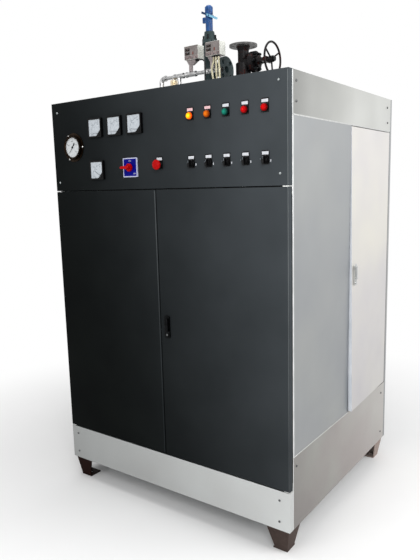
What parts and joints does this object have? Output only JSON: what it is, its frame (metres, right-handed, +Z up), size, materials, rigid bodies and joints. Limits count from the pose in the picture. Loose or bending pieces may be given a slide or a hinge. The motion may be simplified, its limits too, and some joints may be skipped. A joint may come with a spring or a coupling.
{
  "type": "electric steam boiler in a steel cabinet",
  "caption": "Free-standing electric steam boiler: sheet-steel cabinet with doors, sloping feet, an instrument panel and steam valves on the roof.",
  "frame": {"origin": "centre of the four anchor holes in the feet, at floor level", "axes": "+Z up, front panel faces -Y, +X to the right for someone who faces the front"},
  "size_m": [1.2205, 1.075, 2.287],
  "materials": {
    "frame_steel": "grey primer on square tube",
    "foot_steel": "dark brown paint on folded steel",
    "stainless_sheet": "brushed stainless sheet",
    "galvanised_sheet": "galvanised sheet",
    "door_paint": "dark grey powder coat, fine texture",
    "zinc_steel": "bright zinc plate",
    "drum_steel": "grey heat-resistant paint",
    "pipe_steel": "stainless pipe",
    "fitting_brass": "turned brass",
    "cast_dark": "dark paint over cast iron with rust",
    "cast_green": "dark teal paint over cast iron",
    "bonnet_blue": "blue enamel",
    "lever_blue": "light blue enamel",
    "switch_grey": "light grey enamel",
    "black_plastic": "black moulded plastic",
    "dial_white": "white printed dial",
    "switch_plate": "light moulded frame",
    "red_plastic": "red moulded plastic",
    "lens_plastic": "coloured lens",
    "lead_sleeve": "cream glass-fibre sleeving",
    "cable_jacket": "dark cable jacket",
    "lock_black": "black die-cast lock"
  },
  "bodies": {
    "cabinet": {"frame_cross_rails": "frame_steel", "frame_side_rails": "frame_steel", "frame_posts": "frame_steel", "floor_plate": "galvanised_sheet", "corner_feet": "foot_steel", "right_top_band": "stainless_sheet", "right_bottom_band": "stainless_sheet", "right_front_panel": "stainless_sheet", "left_top_band": "stainless_sheet", "left_bottom_band": "stainless_sheet", "left_front_panel": "stainless_sheet", "left_rear_panel": "stainless_sheet", "back_panel": "stainless_sheet", "roof_panel": "stainless_sheet", "front_skirt": "stainless_sheet", "instrument_panel": "door_paint", "front_hinge_brackets": "zinc_steel", "side_hinge_brackets": "zinc_steel", "mounting_plate": "galvanised_sheet", "boiler_drum": "drum_steel", "drum_saddles": "frame_steel", "steam_nozzles": "pipe_steel", "steam_header": "pipe_steel", "header_coupling": "fitting_brass", "pressure_switch_left": "switch_grey", "pressure_switch_right": "switch_grey", "safety_valve_body": "cast_green", "safety_valve_bonnet": "bonnet_blue", "stop_valve_body": "cast_dark", "stop_valve_bonnet": "cast_dark", "pressure_gauge": "black_plastic", "pressure_gauge_dial": "dial_white", "meter_cases": "black_plastic", "meter_dials": "dial_white", "main_switch_plate": "switch_plate", "pilot_bezels": "black_plastic", "pilot_lenses": "lens_plastic", "selector_collars": "black_plastic", "legend_holders": "black_plastic", "stop_button_collar": "black_plastic", "switch_lead_1": "lead_sleeve", "switch_lead_2": "lead_sleeve", "switch_lead_3": "lead_sleeve", "switch_cable": "cable_jacket", "cable_glands": "black_plastic"},
    "front_door_left": {"front_door_left": "door_paint"},
    "front_door_right": {"front_door_right": "door_paint", "front_door_lock": "lock_black"},
    "side_door": {"side_door": "stainless_sheet", "side_door_lock": "lock_black"},
    "stop_valve_stem": {"stop_valve_stem": "pipe_steel"},
    "stop_valve_handwheel": {"stop_valve_handwheel": "cast_dark"},
    "safety_valve_lever": {"safety_valve_lever": "lever_blue"},
    "main_switch_handle": {"main_switch_handle": "red_plastic"},
    "stop_button": {"stop_button": "red_plastic"},
    "selector_knob_1": {"selector_knob_1": "black_plastic"},
    "selector_knob_2": {"selector_knob_2": "black_plastic"},
    "selector_knob_3": {"selector_knob_3": "black_plastic"},
    "selector_knob_4": {"selector_knob_4": "black_plastic"},
    "selector_knob_5": {"selector_knob_5": "black_plastic"}
  },
  "joints": [
    {"name": "front_door_left_hinge", "type": "hinge", "parent": "cabinet", "child": "front_door_left", "pos_m": [-0.594, -0.514, 0.263], "axis": [0, 0, -1], "range_deg": [0, 110]},
    {"name": "front_door_right_hinge", "type": "hinge", "parent": "cabinet", "child": "front_door_right", "pos_m": [0.594, -0.514, 0.263], "axis": [0, 0, 1], "range_deg": [0, 110]},
    {"name": "side_door_hinge", "type": "hinge", "parent": "cabinet", "child": "side_door", "pos_m": [0.594, 0.489, 0.395], "axis": [0, 0, 1], "range_deg": [0, 100]},
    {"name": "stop_valve_stem_lift", "type": "slide", "parent": "cabinet", "child": "stop_valve_stem", "axis": [1, 0, 0], "range_m": [0, 0.014]},
    {"name": "stop_valve_handwheel_turn", "type": "hinge", "parent": "stop_valve_stem", "child": "stop_valve_handwheel", "pos_m": [-0.015, 0.18, 1.985], "axis": [1, 0, 0], "range_deg": [0, 1260]},
    {"name": "safety_valve_lever_lift", "type": "hinge", "parent": "cabinet", "child": "safety_valve_lever", "pos_m": [-0.195, 0.18, 2.233], "axis": [0, 1, 0], "range_deg": [0, 18]},
    {"name": "main_switch_turn", "type": "hinge", "parent": "cabinet", "child": "main_switch_handle", "pos_m": [-0.12996, -0.52, 1.48699], "axis": [0, 1, 0], "range_deg": [0, 90]},
    {"name": "stop_button_press", "type": "slide", "parent": "cabinet", "child": "stop_button", "axis": [0, 1, 0], "range_m": [0, 0.005], "stiffness_N_per_m": 600, "springref_m": -0.004},
    {"name": "selector_1_turn", "type": "hinge", "parent": "cabinet", "child": "selector_knob_1", "pos_m": [0.186, -0.52, 1.48901], "axis": [0, 1, 0], "range_deg": [-45, 45]},
    {"name": "selector_2_turn", "type": "hinge", "parent": "cabinet", "child": "selector_knob_2", "pos_m": [0.267, -0.52, 1.48901], "axis": [0, 1, 0], "range_deg": [-45, 45]},
    {"name": "selector_3_turn", "type": "hinge", "parent": "cabinet", "child": "selector_knob_3", "pos_m": [0.348, -0.52, 1.48901], "axis": [0, 1, 0], "range_deg": [-45, 45]},
    {"name": "selector_4_turn", "type": "hinge", "parent": "cabinet", "child": "selector_knob_4", "pos_m": [0.429, -0.52, 1.48901], "axis": [0, 1, 0], "range_deg": [-45, 45]},
    {"name": "selector_5_turn", "type": "hinge", "parent": "cabinet", "child": "selector_knob_5", "pos_m": [0.51, -0.52, 1.48901], "axis": [0, 1, 0], "range_deg": [-45, 45]}
  ],
  "couplings": [
    {"joint": "stop_valve_stem_lift", "follows": "stop_valve_handwheel_turn", "m_per_rad": 0.00063662}
  ]
}
